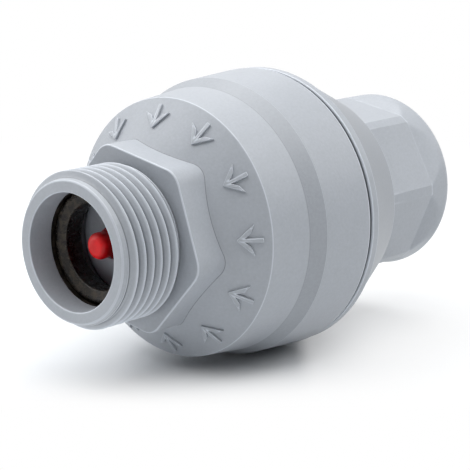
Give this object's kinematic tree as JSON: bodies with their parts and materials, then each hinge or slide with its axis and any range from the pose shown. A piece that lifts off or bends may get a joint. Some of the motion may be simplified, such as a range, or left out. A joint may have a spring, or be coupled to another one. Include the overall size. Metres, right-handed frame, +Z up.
{
  "type": "in-line water shut-off valve",
  "caption": "Round plastic in-line water shut-off valve with a flatted threaded inlet socket, a domed body, a hexagon, a threaded outlet and a red reset pin inside its mouth.",
  "frame": {"origin": "centre of the inlet socket at the inlet's end face", "axes": "+X along the flow, from the inlet to the outlet; +Z up as the valve lies in the picture"},
  "size_m": [0.084, 0.0508, 0.0508],
  "materials": {
    "housing_plastic": "fine moulded satin, blue-grey",
    "seal_rubber": "smooth moulded, brown-black",
    "black_rubber": "smooth moulded",
    "pin_red": "glossy moulded red",
    "disc_grey": "satin moulded grey",
    "white_plastic": "satin moulded",
    "stainless": "turned and drawn",
    "brass": "turned"
  },
  "bodies": {
    "housing": {"inlet_body": "housing_plastic", "outlet_body": "housing_plastic", "body_o_ring": "black_rubber", "inlet_gasket": "black_rubber", "strainer_rim": "white_plastic", "strainer_mesh": "stainless", "seat_seal": "seal_rubber", "guide_spider": "white_plastic", "guide_bush": "white_plastic", "opening_spring": "stainless", "damper_cylinder": "white_plastic", "metering_jet": "brass", "ball_cage": "white_plastic"},
    "valve": {"valve_stem": "stainless", "shutoff_disc": "disc_grey", "reset_pin": "pin_red", "sensing_plate": "white_plastic", "plate_clip": "stainless", "damper_piston": "white_plastic", "piston_ring": "black_rubber", "piston_nut": "brass"},
    "check_ball": {"return_ball": "stainless"}
  },
  "joints": [
    {"name": "valve_slide", "type": "slide", "parent": "housing", "child": "valve", "axis": [1, 0, 0], "range_m": [0, 0.0019], "stiffness_N_per_m": 400, "springref_m": -0.004, "deforming": ["opening_spring"]},
    {"name": "ball_lift", "type": "slide", "parent": "housing", "child": "check_ball", "axis": [-1, 0, 0], "range_m": [0, 0.0009]}
  ]
}
